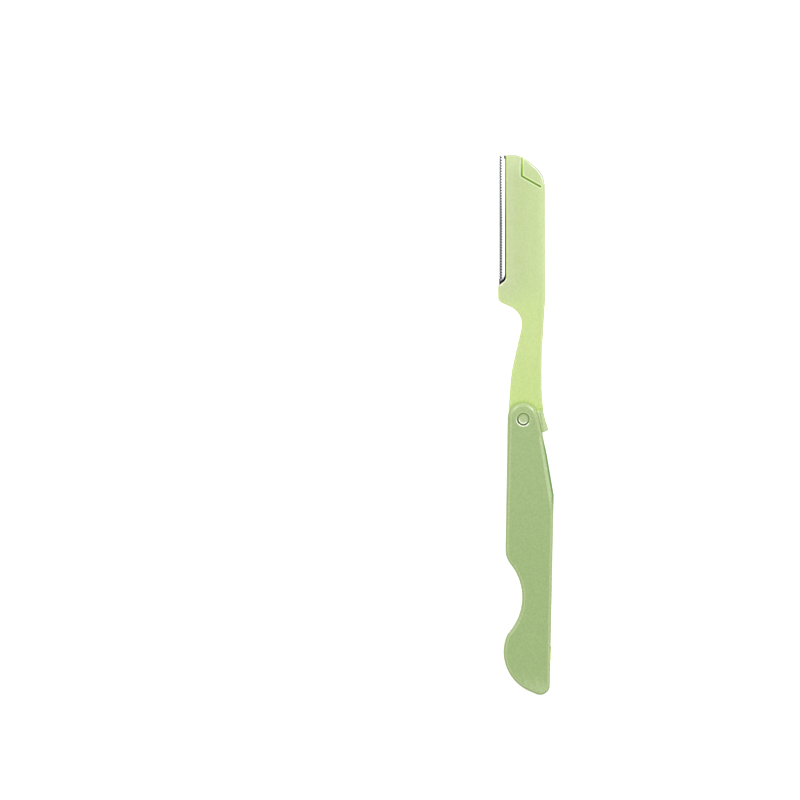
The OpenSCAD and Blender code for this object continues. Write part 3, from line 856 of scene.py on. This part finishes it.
# Painted shade on the teeth, a painted dark reflection on the nose and painted shade in the seam
STEEL_TOOTH_SHADE = "#a4a6a9"
STEEL_TOOTH_DEEP_SHADE = "#7a7c7f"
STEEL_NOSE_REFLECTION = "#2e3034"
STEEL_SEAM_SHADE_TOP = "#5c634e"
STEEL_SEAM_SHADE = "#040502"
TOOTH_INNER, TOOTH_OUTER = 0.85 * MM, 0.65 * MM
DEEP_SHADE_INNER, DEEP_SHADE_OUTER = 1.2 * MM, 0.52 * MM
NOSE_INNER, NOSE_OUTER = 0.45 * MM, 0.32 * MM
SEAM_WIDTH = 0.36 * MM
SEAM_REACH = 0.9 * MM


def foil_coats(at):
    """The painted shade on the teeth, the painted dark reflection on the nose of the fold and
    the painted shade in the seam beside the plastic.
    """
    x, y, nose = at["x"], at["y"], guard_low.x
    deep_shade_on_teeth = [(x, nose + DEEP_SHADE_INNER, nose + TOOTH_INNER),
                     (x, nose + NOSE_OUTER, nose + DEEP_SHADE_OUTER),
                     (y, guard_high.y - 6 * MM, guard_high.y - 20 * MM)]
    shade_in_seam = (x, SEAT_X - SEAM_WIDTH, SEAT_X - SEAM_WIDTH + 0.1 * MM)
    shade_at_foot = [(at["open"], 0.98, 0.9), (y, WINDOW_FOOT + 2 * MM, WINDOW_FOOT + 0.6 * MM)]
    return [
        # Painted shade on the teeth and in the seam, and a painted dark reflection on the nose
        (STEEL_TOOTH_SHADE, (x, nose + TOOTH_INNER, nose + TOOTH_OUTER)),
        (STEEL_TOOTH_DEEP_SHADE, *deep_shade_on_teeth),
        (STEEL_NOSE_REFLECTION, (x, nose + NOSE_INNER, nose + NOSE_OUTER)),
        (STEEL_SEAM_SHADE_TOP, shade_in_seam),
        (STEEL_SEAM_SHADE, shade_in_seam, (y, guard_high.y - 1 * MM, guard_high.y - 26 * MM)),
        (STEEL_SEAM_SHADE, *shade_at_foot),
    ]


def rolled_guard_foil():
    """Bright foil with lines along its length."""
    material, tree, place, shader, _ = steel(
        "stainless_foil_rolled", across=ROLL, stretch=(1.0, 0.01, 1.0),
        smoothest=0.2, roughest=0.3)
    at = surface_values(tree, place, {"open": (SEAM_REACH, OUTWARDS)})
    tree.links.new(painted(tree, STEEL, foil_coats(at)), shader.inputs["Base Color"])
    return material


guard_steel = rolled_guard_foil()
print("made", guard_steel.name, "with", len(guard_steel.node_tree.nodes), "nodes")

# %% [markdown]
# ## Dressing the pieces
# Each piece keeps its own solid. A new mesh could stand in for it, but the shapes are right
# already, so it only gets its material, in its object's material slot.

# %% Put the materials on
FINISHES = {
    "handle": handle_plastic,
    "pivot_pin": pin_plastic,
    "blade_arm": arm_plastic,
    "blade": blade_steel,
    "guard_comb": guard_steel,
}

for name, material in FINISHES.items():
    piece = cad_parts[name]
    piece.data.materials.clear()
    piece.data.materials.append(material)
    print(name, "is", material.name)

# %% [markdown]
# ## Floor
# The razor lies on a pale sheet of card. A white floor lit like the razor comes out a little
# grey, and more light would bleach the razor. So the floor also glows, but only for the
# camera and for reflections. What is lit then reaches white, and the soft shadow under the
# razor stays.

# %% Make the floor
FLOOR_HALF = 6.0
FLOOR_DROP = 0.02 * MM
FLOOR_GREY = 0.8
FLOOR_GLOW = 0.68


def seen_share(tree):
    """1 for rays that come from the camera, or from glossy or clear surfaces."""
    path = add_node(tree, "ShaderNodeLightPath")
    gloss = add_node(tree, "ShaderNodeMath",
                     {0: path.outputs["Is Camera Ray"], 1: path.outputs["Is Glossy Ray"]},
                     out=0, operation="MAXIMUM")
    return add_node(tree, "ShaderNodeMath",
                    {0: gloss, 1: path.outputs["Is Transmission Ray"]}, out=0,
                    operation="MAXIMUM")


def white_card():
    """A material that is lit like any other, and glows where it is seen."""
    material = bpy.data.materials.new("white_card")
    material.use_nodes = True
    tree = material.node_tree
    tree.nodes.clear()
    lit = add_node(tree, "ShaderNodeBsdfDiffuse",
                   {"Color": (FLOOR_GREY, FLOOR_GREY, FLOOR_GREY, 1)}, out=0)
    strength = add_node(tree, "ShaderNodeMath", {0: seen_share(tree), 1: FLOOR_GLOW}, out=0,
                        operation="MULTIPLY")
    glow = add_node(tree, "ShaderNodeEmission", {"Strength": strength}, out=0)
    both = add_node(tree, "ShaderNodeAddShader", {0: lit, 1: glow}, out=0)
    add_node(tree, "ShaderNodeOutputMaterial", {"Surface": both})
    return material


def lay_floor():
    """A square that lies just under the razor. It isn't part of it."""
    mesh = bpy.data.meshes.new("floor")
    corners = [(x * FLOOR_HALF, y * FLOOR_HALF, -FLOOR_DROP)
               for x, y in ((-1, -1), (1, -1), (1, 1), (-1, 1))]
    mesh.from_pydata(corners, [], [(0, 1, 2, 3)])
    mesh.materials.append(white_card())
    floor = bpy.data.objects.new("floor", mesh)
    bpy.context.scene.collection.objects.link(floor)
    floor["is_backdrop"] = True


lay_floor()
print("floor", 2 * FLOOR_HALF, "m wide")

# %% [markdown]
# ## Light
# A plain pale room gives a good third of the light. The rest comes from three soft boxes. One
# hangs straight above, and flat steel mirrors it and turns white. A small one stands at the
# upper right and a weaker one at the upper left. They draw the two bright arcs on the ears and
# the gleam round the head's corner, which painted highlights in the plastics make brighter. A
# room alone would leave these out, and one strong lamp would throw a hard shadow. Together they
# light an upward face to about 1, so colours render about as written. A lamp's power follows
# from how bright it should look: power = radiance x pi x area. Sizes and distances are in
# metres, angles in degrees.

# %% Set up the room and the lamps
ROOM = 0.38
LAMPS = {
    "overhead": dict(radiance=1.3, wide=1.5, tall=1.5, turn=0, height=90, away=2.2),
    "key_right": dict(radiance=28, wide=0.45, tall=0.16, turn=42, height=60, away=1.4),
    "fill_left": dict(radiance=30, wide=0.4, tall=0.12, turn=-40, height=60, away=1.4),
}


def pale_room():
    """A room that gives ROOM of light and looks white where it is seen."""
    world = bpy.data.worlds.new("pale_room")
    bpy.context.scene.world = world
    world.use_nodes = True
    tree = world.node_tree
    tree.nodes.clear()
    lighting = add_node(tree, "ShaderNodeBackground",
                        {"Color": (1, 1, 1, 1), "Strength": ROOM}, out=0)
    seen = add_node(tree, "ShaderNodeBackground", {"Color": (1, 1, 1, 1), "Strength": 1.0},
                    out=0)
    mixed = add_node(tree, "ShaderNodeMixShader", {0: seen_share(tree), 1: lighting, 2: seen},
                     out=0)
    add_node(tree, "ShaderNodeOutputWorld", {"Surface": mixed})


def soft_box(name, radiance, wide, tall, turn, height, away):
    """Hangs a lamp that looks at the razor. Gives back its light on an upward face."""
    lamp = bpy.data.lights.new(name, "AREA")
    lamp.shape = "RECTANGLE"
    lamp.size = wide
    lamp.size_y = tall
    lamp.energy = radiance * math.pi * wide * tall
    box = bpy.data.objects.new(name, lamp)
    bpy.context.scene.collection.objects.link(box)
    t, h = math.radians(turn), math.radians(height)
    towards = Vector((math.sin(t) * math.cos(h), math.cos(t) * math.cos(h), math.sin(h)))
    box.location = towards * away
    box.rotation_euler = (-towards).to_track_quat("-Z", "Y").to_euler()
    return wide * tall * radiance * math.sin(h) / (math.pi * away * away)


pale_room()
light = {name: soft_box(name, **values) for name, values in LAMPS.items()}
print("light on an upward face:", round(ROOM + sum(light.values()), 3))
print("from the lamps:", {name: round(share, 3) for name, share in light.items()})

# %% [markdown]
# ## Camera
# The razor is seen from straight above. A camera close by would show its sides, so this one
# stands far off with a long lens, and the thickness hardly leans outwards. The picture is
# 234.07 mm wide at the razor's upper face.

# %% Set up the camera
VIEW_WIDTH = 234.07 * MM
VIEW_MIDDLE = (-36.9 * MM, 7.24 * MM)
LENS, SENSOR = 300.0, 36.0

lens = bpy.data.cameras.new("camera")
lens.lens = LENS
lens.sensor_width = SENSOR
camera = bpy.data.objects.new("camera", lens)
bpy.context.scene.collection.objects.link(camera)
camera.location = (*VIEW_MIDDLE, handle_high.z + VIEW_WIDTH * LENS / SENSOR)
bpy.context.scene.camera = camera
bpy.context.scene.view_settings.view_transform = "Standard"
print("camera at", [round(v, 4) for v in camera.location])

# %% [markdown]
# ## Size
# The dressed razor's box is compared with the frame's, and how much it grew is printed.
# The dressed razor has to be as big as its frame.

# %% Print how much the box grew
seen_low, seen_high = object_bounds()
grown = (seen_high - seen_low) - (cad_high - cad_low)
print("grown by, in mm:", [round(v / MM, 4) for v in grown])
